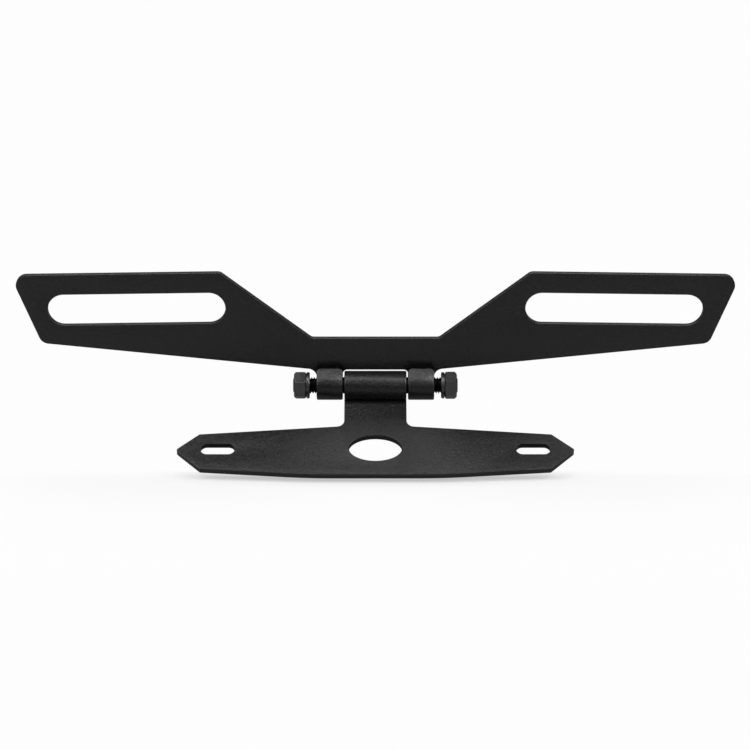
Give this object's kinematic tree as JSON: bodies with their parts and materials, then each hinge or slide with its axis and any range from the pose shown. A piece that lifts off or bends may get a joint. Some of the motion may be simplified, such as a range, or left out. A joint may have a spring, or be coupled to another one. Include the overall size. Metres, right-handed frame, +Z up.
{
  "type": "tail tidy",
  "caption": "Folding tail tidy: a black steel bracket with slotted indicator wings and a lower number-plate holder on a rolled hinge, clamped by a stud and nuts.",
  "frame": {"origin": "midway between the middles of the two indicator slots, on the back face of the upper plate", "axes": "+X across the bike to the viewer's right, +Y through the upper plate towards the bike, +Z up"},
  "size_m": [0.3464, 0.0546, 0.0852],
  "materials": {
    "upper_plate": "satin black powder coat on sheet steel",
    "lower_plate": "satin black powder coat on sheet steel",
    "hinge_stud": "black oxide steel",
    "nuts": "black oxide steel"
  },
  "bodies": {
    "bracket": {"upper_plate": "upper_plate", "hinge_stud": "hinge_stud", "nut_left": "nuts", "nut_right": "nuts"},
    "plate_holder": {"lower_plate": "lower_plate"}
  },
  "joints": [
    {"name": "plate_tilt", "type": "hinge", "parent": "bracket", "child": "plate_holder", "pos_m": [0, -0.0071, -0.03817], "axis": [1, 0, 0], "range_deg": [-114, 130]}
  ]
}
